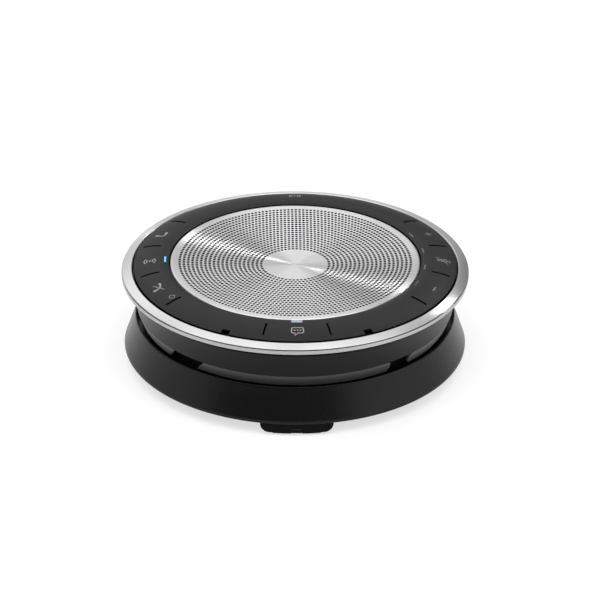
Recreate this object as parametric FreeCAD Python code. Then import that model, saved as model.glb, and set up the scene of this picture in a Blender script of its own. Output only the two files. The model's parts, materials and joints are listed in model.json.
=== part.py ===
"""Round tabletop conference speakerphone, built as an assembly of separate pieces.

The frame: origin on the table under the centre of the device, +Z up, the front towards -Y.
All sizes are in millimetres. Outlines are (radius, height) pairs turned about the Z axis.
Angles are in degrees, counted anticlockwise from +X when seen from above.
"""
import FreeCAD, Part
import math
import os

V = FreeCAD.Vector
UP = V(0, 0, 1)
ORIGIN = V(0, 0, 0)

# ---- driving dimensions -------------------------------------------------------------------
RING_R = 60.0              # outside of the steel trim ring, the widest place
TOTAL_H = 36.0             # table to the crest of the key ring
FIT = 0.05                 # running clearance of the keys and light guides

GRILLE_R = 43.3            # loudspeaker grille
GRILLE_EDGE_Z = 35.4
GRILLE_DISH = 1.75         # how far the grille's middle lies below its edge
GRILLE_T = 0.8
DISH_FLAT_R = 2.0
CLOTH_T = 0.25

CREST_R = 46.4             # highest circle of the key ring
CROWN_R = 23.5             # radius of the key ring's convex section
BEZEL_IN_R = 43.45
BEZEL_OUT_R = 56.1
BEZEL_T = 1.4
BEZEL_FOOT_Z = 31.9        # the bezel's outer wall stands on the chassis rim here

KEY_IN_R = 47.73           # inner and outer ends of the key openings
KEY_OUT_R = 53.98
KEY_SPAN = 24.0            # angle of one key
KEY_SLIT = 0.6             # gap between neighbouring keys
KEY_TRAVEL = 0.4
KEY_LIP = 0.45             # how far a key's retaining lip reaches under the bezel
KEY_T = 2.0
KEY_POST_R = 51.0          # where each key's plunger stands
KEYS = {"call": 156.0, "wireless": 180.0, "hang_up": 204.0,
        "volume_up": 24.0, "mute": 0.0, "volume_down": -24.0, "app": 270.0}
KEY_GROUPS = ((180.0, 72.0), (0.0, 72.0), (270.0, 24.0))      # middle angle and total span

BAND_R = 44.94             # circle of the status lights
DASH_ANGLES = (-24.0, -8.0, 8.0, 24.0)
DASH_SIZE = (3.7, 0.75)    # along the circle, across it
CALL_LIGHT = (180.0, 44.94, 4.8, 1.1)
APP_LIGHT = (270.0, 44.95, 3.7, 2.8)    # open to the grille, so it takes in the bezel's inner edge

MIC_ANGLES = (270.0 - 25.3, 270.0 + 25.3)
MIC_NOTCH_W = 2.8
MIC_NOTCH_IN_R = 54.1

RING_IN_R = 56.25
RING_TOP_Z = 33.85
RING_BAND_TOP_Z = 32.95
RING_FOOT_Z = 31.2

PLATE_Z = (28.0, 29.5)     # chassis plate, lower and upper face
KEY_BOARD_T = 0.8
DOME_H = 0.35
DOME_T = 0.1
FLOOR_Z = (13.6, 15.2)     # lower housing floor
WEB_Z = (10.6, 12.0)       # roof of the cable channel
HOUSING_TOP_Z = 30.7
STRIP_Z = (16.1, 20.2)
STRIP_TOP_R = 54.98
STRIP_FOOT_R = 53.42
RECESS_R = 52.2            # housing wall behind the strip
STRIP_GAPS = {"left": (219.7, 233.8), "right": (305.2, 313.6)}    # where the strip stops and starts again
WINDOW_H = 2.9             # window in the housing wall behind each gap
WINDOW_MARGIN = 1.2        # how much shorter the window is than the gap, at each end

SKIRT_RIM = (55.6, 16.2)
SKIRT_EDGE = (59.6, 5.05)
SKIRT_FOOT_Z = 4.4
HUB_R = 36.0
HUB_LIP_R = 43.0
HUB_FOOT_Z = 1.2
FOOT_R = (28.5, 36.5)
DOCK_R = 59.2
DOCK_HALF_W = 12.25
DOCK_FOOT_Z = 1.1
GROMMET_ANGLE = 20.0
GROMMET_Z = 6.5

SCREW_R = 1.05
CHASSIS_SCREW_CIRCLE = 47.0
CHASSIS_SCREW_ANGLES = [30.0 + 60.0 * i for i in range(6)]
BASE_SCREW_CIRCLE = 31.0
BASE_SCREW_ANGLES = [45.0 + 90.0 * i for i in range(4)]
BOARD_SCREW_CIRCLE = 38.0
BOARD_SCREW_ANGLES = [0.0 + 90.0 * i for i in range(4)]
SPEAKER_SCREW_CIRCLE = 29.7
SPEAKER_SCREW_ANGLES = [45.0 + 90.0 * i for i in range(4)]


# ---- shape helpers ------------------------------------------------------------------------
def turned(shape, angle):
    """A copy of the shape, turned about the Z axis."""
    copy = shape.copy()
    copy.rotate(ORIGIN, UP, angle)
    return copy


def outline_face(outline):
    """Face in the XZ plane. A step is a point, or a pair: a point to bend through and the end."""
    def point(pair):
        return V(pair[0], 0, pair[1])

    edges = []
    here = outline[0]
    for step in list(outline[1:]) + [outline[0]]:
        if isinstance(step[0], tuple):
            through, there = step
            edges.append(Part.Arc(point(here), point(through), point(there)).toShape())
        else:
            there = step
            if there != here:
                edges.append(Part.LineSegment(point(here), point(there)).toShape())
        here = there
    return Part.Face(Part.Wire(edges))


def lathe(outline, sweep=360.0, middle=0.0):
    """The outline turned about Z, centred on the middle angle."""
    start = 0.0 if sweep == 360.0 else middle - sweep / 2
    return turned(outline_face(outline).revolve(ORIGIN, UP, sweep), start)


def ring(inner, outer, low, high, sweep=360.0, middle=0.0):
    """Plain ring or ring sector. An inner radius of zero gives a disc."""
    return lathe([(inner, low), (outer, low), (outer, high), (inner, high)], sweep, middle)


def radial_box(angle, inner, outer, width, low, high):
    """Straight block that points outwards at an angle."""
    return turned(Part.makeBox(outer - inner, width, high - low, V(inner, -width / 2, low)), angle)


def post(angle, circle, radius, low, high):
    """Upright cylinder on a circle."""
    return turned(Part.makeCylinder(radius, high - low, V(circle, 0, low)), angle)


def radial_slot(angle, inner, outer, length, height, middle_z):
    """Round-ended block that points outwards, such as the cutter of a window."""
    half = (length - height) / 2
    radius = height / 2
    core = Part.makeBox(outer - inner, 2 * half, height, V(inner, -half, middle_z - radius))
    for side in (-half, half):
        core = core.fuse(Part.makeCylinder(radius, outer - inner, V(inner, side, middle_z), V(1, 0, 0)))
    return turned(core.removeSplitter(), angle)


def joined(first, others):
    for other in others:
        first = first.fuse(other)
    return first.removeSplitter()


def without(shape, cutters):
    for cutter in cutters:
        shape = shape.cut(cutter)
    return shape


def crown_z(radius, depth=0.0):
    """Height of the key ring's convex top, or of the surface that lies a depth inside it."""
    return TOTAL_H - CROWN_R + math.sqrt((CROWN_R - depth) ** 2 - (radius - CREST_R) ** 2)


def crown_band(inner, outer, upper, lower):
    """Outline between two depths under the key ring's convex top."""
    middle = (inner + outer) / 2
    return [(inner, crown_z(inner, upper)),
            ((middle, crown_z(middle, upper)), (outer, crown_z(outer, upper))),
            (outer, crown_z(outer, lower)),
            ((middle, crown_z(middle, lower)), (inner, crown_z(inner, lower)))]


# ---- key ring -----------------------------------------------------------------------------
def bezel_blank():
    middle = (CREST_R + BEZEL_OUT_R) / 2
    wall_r = BEZEL_OUT_R - 1.15
    under = (CREST_R + wall_r) / 2
    return lathe([(BEZEL_IN_R, GRILLE_EDGE_Z + 0.02),
                  ((BAND_R, TOTAL_H - 0.17), (CREST_R, TOTAL_H)),
                  ((middle, crown_z(middle)), (BEZEL_OUT_R, crown_z(BEZEL_OUT_R))),
                  (BEZEL_OUT_R, BEZEL_FOOT_Z), (wall_r, BEZEL_FOOT_Z),
                  (wall_r, crown_z(wall_r, BEZEL_T)),
                  ((under, crown_z(under, BEZEL_T)), (CREST_R, TOTAL_H - BEZEL_T)),
                  (CREST_R, 33.3), (BEZEL_IN_R, 33.3)])


def light_openings(clearance):
    """Blocks through the band of status lights, each name with its block."""
    blocks = {"call": radial_box(CALL_LIGHT[0], CALL_LIGHT[1] - CALL_LIGHT[3] / 2 - clearance,
                                 CALL_LIGHT[1] + CALL_LIGHT[3] / 2 + clearance,
                                 CALL_LIGHT[2] + 2 * clearance, 31.0, 37.0),
              "app": radial_box(APP_LIGHT[0], BEZEL_IN_R - 0.2, APP_LIGHT[1] + APP_LIGHT[3] / 2 + clearance,
                              APP_LIGHT[2] + 2 * clearance, 31.0, 37.0)}
    half = DASH_SIZE[1] / 2 + clearance
    for number, angle in enumerate(DASH_ANGLES, 1):
        blocks["dash_%d" % number] = radial_box(angle, BAND_R - half, BAND_R + half,
                                                DASH_SIZE[0] + 2 * clearance, 31.0, 37.0)
    return blocks


def key_bezel():
    cutters = list(light_openings(FIT).values())
    for middle, span in KEY_GROUPS:
        cutters.append(ring(KEY_IN_R, KEY_OUT_R, 31.0, 37.0, span, middle))
        for side in (-span / 2, span / 2):
            cutters.append(radial_box(middle + side, KEY_IN_R, KEY_OUT_R, KEY_SLIT, 31.0, 37.0))
    for angle in MIC_ANGLES:
        cutters.append(radial_box(angle, MIC_NOTCH_IN_R, 57.0, MIC_NOTCH_W, 31.0, 37.0))
    return without(bezel_blank(), cutters)


def light_guides():
    """Light guides shaped to the bezel's surface, with legs down to the lights."""
    sleeve = lathe([(BEZEL_IN_R, 31.0), (CREST_R, 31.0), (CREST_R, TOTAL_H),
                    ((BAND_R, TOTAL_H - 0.17), (BEZEL_IN_R, GRILLE_EDGE_Z + 0.02))])
    blocks = light_openings(0.0)
    dashes = [sleeve.common(blocks["dash_%d" % number]) for number in range(1, 5)]
    return {"call_light_guide": sleeve.common(blocks["call"]),
            "app_light_guide": sleeve.common(blocks["app"]),
            "volume_light_guides": Part.makeCompound(dashes)}


def key(angle):
    """One key: curved cap, retaining lip under the bezel, and a plunger over its switch."""
    cap = lathe(crown_band(KEY_IN_R + FIT, KEY_OUT_R - FIT, 0.0, KEY_T), KEY_SPAN)
    lip = lathe(crown_band(KEY_IN_R - KEY_LIP, KEY_OUT_R + KEY_LIP, BEZEL_T + FIT, KEY_T), KEY_SPAN)
    sides = [radial_box(side, 46.0, 56.0, KEY_SLIT, 30.0, 37.0) for side in (-KEY_SPAN / 2, KEY_SPAN / 2)]
    plunger_foot = PLATE_Z[1] + KEY_BOARD_T + DOME_H + KEY_TRAVEL + FIT
    plunger = post(0.0, KEY_POST_R, 1.6, plunger_foot, crown_z(KEY_POST_R, KEY_T) + 0.5)
    return turned(joined(without(cap.fuse(lip), sides), [plunger]), angle)


def key_board():
    """Ring-shaped circuit board under the keys."""
    return ring(44.0, 54.8, PLATE_Z[1], PLATE_Z[1] + KEY_BOARD_T)


def switch_domes():
    """Thin metal snap domes, one under each key."""
    foot = PLATE_Z[1] + KEY_BOARD_T
    top = foot + DOME_H
    dome = lathe([(1.9, foot), (2.2, foot), (1.4, foot + 0.26), (0.5, top), (0.0, top),
                  (0.0, top - DOME_T), (0.45, top - DOME_T), (1.34, foot + 0.17)])
    dome.translate(V(KEY_POST_R, 0, 0))
    return Part.makeCompound([turned(dome, angle) for angle in KEYS.values()])


def status_leds():
    foot = PLATE_Z[1] + KEY_BOARD_T
    spots = [CALL_LIGHT[:2], APP_LIGHT[:2]] + [(angle, BAND_R) for angle in DASH_ANGLES]
    return Part.makeCompound([radial_box(angle, circle - 0.4, circle + 0.4, 1.6, foot, foot + 0.6)
                              for angle, circle in spots])


def microphones():
    foot = PLATE_Z[1] + KEY_BOARD_T
    return Part.makeCompound([radial_box(angle, 51.6, 54.6, 3.8, foot, foot + 1.0) for angle in MIC_ANGLES])


def mic_gaskets():
    """Soft black blocks that join each microphone to its notch in the key ring."""
    foot = PLATE_Z[1] + KEY_BOARD_T + 1.0
    width = MIC_NOTCH_W - 0.1
    gaskets = []
    for angle in MIC_ANGLES:
        leg = radial_box(angle, 52.0, 54.8, width, foot, BEZEL_FOOT_Z + 0.3)
        head = radial_box(angle, MIC_NOTCH_IN_R + 0.05, 56.0, width, BEZEL_FOOT_Z, 33.0)
        port = post(angle, 53.4, 0.5, foot, BEZEL_FOOT_Z + 0.3)
        gaskets.append(joined(leg, [head]).cut(port))
    return Part.makeCompound(gaskets)


def link_antenna():
    """Flexible short-range antenna under the back of the key ring."""
    return lathe(crown_band(48.5, 54.0, BEZEL_T + 0.02, BEZEL_T + 0.27), 26.0, 90.0)


# ---- grille and steel ring ----------------------------------------------------------------
def dish_z(radius):
    return GRILLE_EDGE_Z - GRILLE_DISH * (1 - (radius / GRILLE_R) ** 2)


def dish_layer(edge, upper, lower, skirt=()):
    """Dished layer between two depths under the grille's top, flat at the very middle."""
    half = edge / 2
    flat = DISH_FLAT_R
    return lathe([(0.0, dish_z(flat) - upper), (flat, dish_z(flat) - upper),
                  ((half, dish_z(half) - upper), (edge, dish_z(edge) - upper)), *skirt]
                 + [((half, dish_z(half) - lower), (flat, dish_z(flat) - lower)), (0.0, dish_z(flat) - lower)])


def grille():
    """Dished grille with a turned-down rim that stands on the chassis wall."""
    rim = GRILLE_R - 1.0
    return dish_layer(GRILLE_R, 0.0, GRILLE_T,
                      [(GRILLE_R, 33.35), (rim, 33.35), (rim, dish_z(rim) - GRILLE_T)])


def grille_cloth():
    """Black acoustic cloth bonded under the grille."""
    edge = GRILLE_R - 1.2
    upper = GRILLE_T + 0.03
    lower = upper + CLOTH_T
    return dish_layer(edge, upper, lower, [(edge, dish_z(edge) - lower)])


def steel_ring():
    """Trim ring: polished sloping top, a fine shadow line, and a short upright band."""
    return lathe([(RING_IN_R, RING_TOP_Z), (59.72, 33.1), ((59.86, 33.04), (59.9, RING_BAND_TOP_Z)),
                  (59.78, RING_BAND_TOP_Z - 0.08), (59.9, RING_BAND_TOP_Z - 0.16),
                  (RING_R, RING_BAND_TOP_Z - 0.28), (RING_R, RING_FOOT_Z + 0.2),
                  ((59.94, RING_FOOT_Z + 0.06), (59.8, RING_FOOT_Z)), (58.9, RING_FOOT_Z),
                  (58.9, 32.2), (57.3, 32.5), (57.3, RING_FOOT_Z), (RING_IN_R, RING_FOOT_Z)])


def trim_seal():
    return ring(56.75, 58.1, HOUSING_TOP_Z, RING_FOOT_Z)


# ---- housing ------------------------------------------------------------------------------
def top_chassis():
    """Frame that carries the grille, key ring, key board and loudspeaker."""
    low, high = PLATE_Z
    frame = joined(ring(25.6, 55.0, low, high),
                   [ring(42.2, 43.35, high, 33.35), ring(54.9, 56.05, high - 0.2, BEZEL_FOOT_Z)]
                   + [post(angle, CHASSIS_SCREW_CIRCLE, 2.8, FLOOR_Z[1], low) for angle in CHASSIS_SCREW_ANGLES])
    holes = [post(angle, CHASSIS_SCREW_CIRCLE, SCREW_R, FLOOR_Z[1], 25.0) for angle in CHASSIS_SCREW_ANGLES]
    holes += [post(angle, SPEAKER_SCREW_CIRCLE, 0.8, low, high) for angle in SPEAKER_SCREW_ANGLES]
    holes.append(radial_box(90.0, 43.5, 44.8, 9.0, low - 1, high + 1))
    return without(frame, holes)


def lower_housing():
    """Bowl-shaped shell, stepped inwards behind the strip, with a flat floor."""
    shell = lathe([(0.0, FLOOR_Z[0]), (51.0, FLOOR_Z[0]), ((51.85, 13.95), (RECESS_R, 14.8)),
                   (RECESS_R, STRIP_Z[1] + 0.1), (STRIP_TOP_R, STRIP_Z[1] + 0.1),
                   ((56.35, 25.6), (58.3, HOUSING_TOP_Z)), (56.7, HOUSING_TOP_Z),
                   ((54.75, 25.6), (53.3, 21.9)), (50.6, 21.2), (50.6, FLOOR_Z[1]), (0.0, FLOOR_Z[1])])
    posts = [post(angle, BASE_SCREW_CIRCLE, 3.0, WEB_Z[1], FLOOR_Z[0] + 0.5) for angle in BASE_SCREW_ANGLES]
    posts += [post(angle, BOARD_SCREW_CIRCLE, 2.2, FLOOR_Z[1] - 0.5, 17.4) for angle in BOARD_SCREW_ANGLES]
    holes = [post(angle, BASE_SCREW_CIRCLE, SCREW_R, WEB_Z[1], 14.9) for angle in BASE_SCREW_ANGLES]
    holes += [post(angle, BOARD_SCREW_CIRCLE, 0.8, FLOOR_Z[1], 17.4) for angle in BOARD_SCREW_ANGLES]
    holes += [post(angle, CHASSIS_SCREW_CIRCLE, 1.3, FLOOR_Z[0], FLOOR_Z[1]) for angle in CHASSIS_SCREW_ANGLES]
    middle_z = sum(STRIP_Z) / 2
    for angle, length in housing_windows().values():
        holes.append(radial_slot(angle, 48.0, 54.0, length, WINDOW_H, middle_z))
    return without(joined(shell, posts), holes)


def housing_windows():
    """Middle angle and length of the window behind each gap in the strip."""
    return {side: ((start + end) / 2, math.radians(end - start) * RECESS_R - 2 * WINDOW_MARGIN)
            for side, (start, end) in STRIP_GAPS.items()}


def port_inserts():
    """Dark recessed liners in the two windows."""
    middle_z = sum(STRIP_Z) / 2
    inserts = {}
    for side, (angle, length) in housing_windows().items():
        liner = radial_slot(angle, 48.9, 51.3, length - 0.06, WINDOW_H - 0.06, middle_z)
        pocket = radial_slot(angle, 50.1, 52.0, length - 1.4, WINDOW_H - 1.2, middle_z)
        inserts["port_insert_" + side] = liner.cut(pocket)
    return inserts


def guard_strips():
    """Flat band around the waist, leaning inwards towards its foot, in two lengths with gaps between."""
    section = [(RECESS_R + 0.05, STRIP_Z[0]), (STRIP_FOOT_R, STRIP_Z[0]),
               (STRIP_TOP_R, STRIP_Z[1]), (RECESS_R + 0.05, STRIP_Z[1])]
    left, right = STRIP_GAPS["left"], STRIP_GAPS["right"]

    def length(start, end):
        return lathe(section, end - start, (start + end) / 2)

    return {"guard_strip_front": length(left[1], right[0]), "guard_strip_rear": length(right[1], left[0] + 360.0)}


# ---- loudspeaker --------------------------------------------------------------------------
def speaker_frame():
    basket = lathe([(31.5, 29.5), (31.5, 30.5), (24.4, 30.5), (23.2, 29.0), (17.4, 26.3), (17.4, 25.7),
                    (14.8, 25.7), (14.8, 24.9), (13.05, 24.9), (13.05, 23.0), (14.6, 23.0),
                    (14.6, 24.2), (18.6, 24.9), (24.9, 28.2), (25.4, 29.5)])
    cutters = [ring(18.8, 22.6, 23.0, 30.4, 50.0, 90.0 * quarter) for quarter in range(4)]
    cutters += [post(angle, SPEAKER_SCREW_CIRCLE, 0.95, 29.0, 31.0) for angle in SPEAKER_SCREW_ANGLES]
    return without(basket, cutters)


def speaker_motor():
    yoke = lathe([(0.0, 19.8), (13.0, 19.8), (13.0, 25.6), (11.2, 25.6), (11.2, 21.3), (0.0, 21.3)])
    return {"speaker_yoke": yoke, "speaker_magnet": ring(0.0, 9.0, 21.3, 24.2),
            "speaker_pole_plate": ring(0.0, 9.3, 24.2, 25.6)}


def speaker_cone():
    return lathe([(10.35, 27.0), (10.9, 27.0), (20.2, 30.1), (21.2, 30.1),
                  (21.2, 30.5), (20.0, 30.5), (10.35, 27.55)])


def dust_cap():
    tip = 1.0
    return lathe([(9.7, 27.6), (10.3, 27.6), ((6.2, 29.1), (tip, 29.8)), (0.0, 29.8),
                  (0.0, 29.5), (tip, 29.5), ((5.9, 28.8), (9.7, 27.6))])


def voice_coil():
    return ring(9.7, 10.3, 22.6, 27.6)


def speaker_surround():
    """Half-roll rubber edge between the cone and the frame."""
    return lathe([(20.4, 30.5), (21.3, 30.5), ((22.9, 31.65), (24.5, 30.5)), (25.65, 30.5), (25.65, 30.8),
                  (24.8, 30.8), ((22.9, 32.0), (21.0, 30.8)), (20.4, 30.8)])


def speaker_spider():
    """Corrugated suspension between the voice coil and the frame's shelf."""
    steps = 5
    start_r, end_r = 10.35, 15.6
    crests = [(start_r + (end_r - start_r) * i / steps, 25.95 + (0.35 if i % 2 else 0.0)) for i in range(steps)]
    lower = crests + [(end_r, 25.7), (17.3, 25.7)]
    upper = [(radius, height + 0.25) for radius, height in reversed(lower)]
    return lathe(lower + upper)


def speaker_gasket():
    return ring(25.75, 27.6, 30.5, 33.1)


# ---- electronics --------------------------------------------------------------------------
def main_board():
    holes = [post(angle, BOARD_SCREW_CIRCLE, 1.1, 17.0, 19.0) for angle in BOARD_SCREW_ANGLES]
    return without(ring(0.0, 43.5, 17.4, 18.6), holes)


def board_parts():
    """Processor, radio can, codec and power parts on the main board."""
    top = 18.6
    places = ((20.0, 20.0, 9.0, 9.0, 1.2), (-26.0, 16.0, 12.0, 10.0, 1.8), (22.0, -18.0, 6.0, 6.0, 0.9),
              (-24.0, -20.0, 7.0, 5.0, 1.6), (-14.0, -27.0, 4.0, 4.0, 1.4))
    return Part.makeCompound([Part.makeBox(length, width, height, V(x - length / 2, y - width / 2, top))
                              for x, y, length, width, height in places])


def ribbon_cable():
    """Flat ribbon from the main board up through the chassis to the key board's inner edge."""
    rise = radial_box(90.0, 43.55, 43.75, 8.0, 18.8, 30.3)
    foot = radial_box(90.0, 40.5, 43.75, 8.0, 18.6, 18.8)
    return joined(rise, [foot])


def battery():
    return Part.makeBox(48.0, 34.0, 5.2, V(-24.0, -17.0, 4.3))


def battery_pad():
    return Part.makeBox(44.0, 30.0, 0.3, V(-22.0, -15.0, 4.0))


def ballast_plate():
    return without(ring(0.0, 33.0, 2.8, 4.0),
                   [post(angle, BASE_SCREW_CIRCLE, 3.4, 2.0, 5.0) for angle in BASE_SCREW_ANGLES])


# ---- base ---------------------------------------------------------------------------------
def base_skirt():
    """Flared skirt with the web that roofs the cable channel."""
    skirt = lathe([(26.0, WEB_Z[0]), (55.6, WEB_Z[0]), (57.7, 5.3), (58.2, SKIRT_FOOT_Z),
                   (59.2, SKIRT_FOOT_Z), ((59.52, 4.62), SKIRT_EDGE), ((57.3, 11.3), SKIRT_RIM),
                   ((55.35, 16.38), (55.1, 16.2)), (55.1, WEB_Z[1]), (26.0, WEB_Z[1])])
    return without(skirt, [post(angle, BASE_SCREW_CIRCLE, 1.3, 10.0, 13.0) for angle in BASE_SCREW_ANGLES])


def base_hub():
    """Cup under the web: holds the battery, and is the spool that the stowed cable winds on."""
    cup = lathe([(0.0, HUB_FOOT_Z), (HUB_LIP_R - 0.4, HUB_FOOT_Z), ((HUB_LIP_R + 0.3, 1.9), (HUB_LIP_R - 0.4, 2.6)),
                 (HUB_R, 2.6), (HUB_R, WEB_Z[0]), (HUB_R - 1.6, WEB_Z[0]), (HUB_R - 1.6, 2.8), (0.0, 2.8)])
    posts = [post(angle, BASE_SCREW_CIRCLE, 3.0, 2.5, WEB_Z[0]) for angle in BASE_SCREW_ANGLES]
    holes = [post(angle, BASE_SCREW_CIRCLE, 1.3, 1.0, WEB_Z[0]) for angle in BASE_SCREW_ANGLES]
    holes += [post(angle, BASE_SCREW_CIRCLE, 2.5, 1.0, 3.4) for angle in BASE_SCREW_ANGLES]
    holes.append(ring(FOOT_R[0] - 0.1, FOOT_R[1] + 0.1, 1.0, 1.8))
    bore = Part.makeCylinder(2.75, 6.0, V(32.0, 0, GROMMET_Z), V(1, 0, 0))
    holes.append(turned(bore, GROMMET_ANGLE))
    return without(joined(cup, posts), holes)


def foot_ring():
    """Soft non-slip ring, set in a groove under the hub."""
    inner, outer = FOOT_R
    return lathe([(inner, 1.8), (inner, 0.4), ((inner + 0.12, 0.12), (inner + 0.4, 0.0)),
                  (outer - 0.4, 0.0), ((outer - 0.12, 0.12), (outer, 0.4)), (outer, 1.8)])


def cable_grommet():
    """Soft bush in the hub wall, where the cable comes out into the channel."""
    def disc(radius, start, length):
        return Part.makeCylinder(radius, length, V(start, 0, GROMMET_Z), V(1, 0, 0))

    bush = joined(disc(2.7, 34.0, 2.5), [disc(3.5, 36.35, 1.0), disc(3.3, 33.0, 1.2)])
    return turned(bush.cut(disc(1.7, 30.0, 10.0)), GROMMET_ANGLE)


def plug_dock():
    """Block at the front of the cable channel, with a slot that grips the stowed plug."""
    corner = 3.0
    bend = corner * (1 - math.sqrt(0.5))
    left, low, high = -DOCK_HALF_W, DOCK_FOOT_Z, WEB_Z[0]
    front = outline_face([(left, high), (left, low + corner), ((left + bend, low + bend), (left + corner, low)),
                          (-left - corner, low), ((-left - bend, low + bend), (-left, low + corner)), (-left, high)])
    prism = front.extrude(V(0, -70, 0))
    sweep = lathe([(49.4, low), (DOCK_R, low), (DOCK_R, SKIRT_FOOT_Z - FIT), (58.0, SKIRT_FOOT_Z - FIT),
                   (57.5, 5.4), (55.4, high), (49.4, high)], 40.0, 270.0)
    mark = ring(58.8, DOCK_R + 0.15, 2.35, 3.0, 3.5, 270.0)
    slot = Part.makeBox(16.0, 4.8, 7.0, V(-8.0, -55.4, 0.5))
    return joined(sweep.common(prism), [mark]).cut(slot)


# ---- fasteners ----------------------------------------------------------------------------
def screws(angles, circle, shank_r, tip_z, seat_z, head_r, head_h):
    """Pan-head screws whose heads bear on the seat. The tip may be above or below the seat."""
    upwards = tip_z > seat_z
    head_low = seat_z - head_h if upwards else seat_z
    shank = (seat_z, tip_z) if upwards else (tip_z, seat_z)
    made = []
    for angle in angles:
        head = post(angle, circle, head_r, head_low, head_low + head_h)
        drive_low = head_low if upwards else head_low + head_h / 2
        drive = [turned(Part.makeBox(head_r, 0.4, head_h / 2, V(circle - head_r / 2, -0.2, drive_low)), angle),
                 turned(Part.makeBox(0.4, head_r, head_h / 2, V(circle - 0.2, -head_r / 2, drive_low)), angle)]
        made.append(without(joined(head, [post(angle, circle, shank_r, *shank)]), drive))
    return Part.makeCompound(made)


# ---- assembly -----------------------------------------------------------------------------
def assembly():
    nodes = {"grille": grille(), "grille_cloth": grille_cloth(), "steel_ring": steel_ring(),
             "key_bezel": key_bezel(), "key_board": key_board(), "switch_domes": switch_domes(),
             "status_leds": status_leds(), "microphones": microphones(), "mic_gaskets": mic_gaskets(),
             "link_antenna": link_antenna(), "trim_seal": trim_seal(), "top_chassis": top_chassis(),
             "lower_housing": lower_housing(),
             "speaker_frame": speaker_frame(), "speaker_cone": speaker_cone(), "dust_cap": dust_cap(),
             "voice_coil": voice_coil(), "speaker_surround": speaker_surround(),
             "speaker_spider": speaker_spider(), "speaker_gasket": speaker_gasket(),
             "main_board": main_board(), "board_parts": board_parts(), "ribbon_cable": ribbon_cable(),
             "battery": battery(), "battery_pad": battery_pad(), "ballast_plate": ballast_plate(),
             "base_skirt": base_skirt(), "base_hub": base_hub(), "foot_ring": foot_ring(),
             "cable_grommet": cable_grommet(), "plug_dock": plug_dock()}
    nodes.update(light_guides())
    nodes.update(port_inserts())
    nodes.update(guard_strips())
    nodes.update(speaker_motor())
    for name, angle in KEYS.items():
        nodes["key_" + name] = key(angle)
    nodes["chassis_screws"] = screws(CHASSIS_SCREW_ANGLES, CHASSIS_SCREW_CIRCLE, SCREW_R - 0.02, 23.0,
                                     FLOOR_Z[0], 2.3, 1.4)
    nodes["base_screws"] = screws(BASE_SCREW_ANGLES, BASE_SCREW_CIRCLE, SCREW_R - 0.02, 14.7, 3.4, 2.3, 1.4)
    nodes["board_screws"] = screws(BOARD_SCREW_ANGLES, BOARD_SCREW_CIRCLE, 0.78, 15.6, 18.6, 1.7, 1.1)
    nodes["speaker_screws"] = screws(SPEAKER_SCREW_ANGLES, SPEAKER_SCREW_CIRCLE, 0.78, 28.2, 30.5, 1.5, 1.0)
    return nodes


os.makedirs("parts", exist_ok=True)
for node, shape in sorted(assembly().items()):
    solids = shape.Solids
    if not shape.isValid() or not solids:
        raise ValueError("bad shape: " + node)
    if len(solids) == 1:
        shape = solids[0]
    shape.exportStep("parts/%s.step" % node)
    print("%-22s %2d solid(s) %10.2f mm3" % (node, len(solids), shape.Volume))
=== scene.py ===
"""Looks of the round tabletop conference speakerphone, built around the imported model.

Pieces are modelled in millimetres about the Z axis and stored in metres. Angles are in degrees, anticlockwise
from +X seen from above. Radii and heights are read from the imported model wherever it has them.
"""

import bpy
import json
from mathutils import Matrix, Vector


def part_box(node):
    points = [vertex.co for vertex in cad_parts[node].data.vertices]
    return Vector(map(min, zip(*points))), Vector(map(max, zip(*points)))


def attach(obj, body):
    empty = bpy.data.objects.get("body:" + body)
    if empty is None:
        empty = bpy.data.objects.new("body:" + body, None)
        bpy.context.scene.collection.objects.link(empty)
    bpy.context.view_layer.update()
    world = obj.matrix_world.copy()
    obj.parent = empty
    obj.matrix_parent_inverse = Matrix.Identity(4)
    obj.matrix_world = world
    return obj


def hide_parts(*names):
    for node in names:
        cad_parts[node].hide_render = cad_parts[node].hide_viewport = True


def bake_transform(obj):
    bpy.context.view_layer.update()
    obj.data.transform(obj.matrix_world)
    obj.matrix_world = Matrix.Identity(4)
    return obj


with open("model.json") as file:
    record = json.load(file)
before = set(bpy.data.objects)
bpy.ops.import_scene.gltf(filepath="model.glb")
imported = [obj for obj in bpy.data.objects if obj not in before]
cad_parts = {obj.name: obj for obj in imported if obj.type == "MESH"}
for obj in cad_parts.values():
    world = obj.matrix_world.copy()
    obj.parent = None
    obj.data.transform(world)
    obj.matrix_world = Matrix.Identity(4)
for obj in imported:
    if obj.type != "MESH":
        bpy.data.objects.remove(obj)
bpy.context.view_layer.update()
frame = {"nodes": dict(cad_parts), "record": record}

import bpy
import json
import math
import mathutils

MM = 0.001
SLOTS = {entry["node"]: entry["material_slot"] for entry in frame["record"]["subparts"]}


# ---- sizes from the frame -----------------------------------------------------------------
def reach(node):
    """How far a node reaches from the axis, in millimetres."""
    low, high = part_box(node)
    return max(high.x, high.y, -low.x, -low.y) / MM


def top(node):
    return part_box(node)[1].z / MM


def foot(node):
    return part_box(node)[0].z / MM


CREST_Z = top("key_bezel")
CREST_R = 46.4
CROWN_R = 23.5                      # section radius outside the crest
BROW_R = 7.5                        # section radius inside the crest
BEZEL_IN_R = 43.62
BEZEL_OUT_R = reach("key_bezel") - 0.32
KEY_IN_R = 47.73
KEY_OUT_R = 53.98
KEY_FIT = 0.01
KEY_SPAN = 24.0
SLIT = {"side": 0.85, "front": 0.62}
KEYS = {"call": 156.0, "wireless": 180.0, "hang_up": 204.0,
        "volume_up": 24.0, "mute": 0.0, "volume_down": -24.0, "app": 270.0}
KEY_GROUPS = ((180.0, 72.0, "side"), (0.0, 72.0, "side"), (270.0, 24.0, "front"))
ICON_R = 51.2

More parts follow.
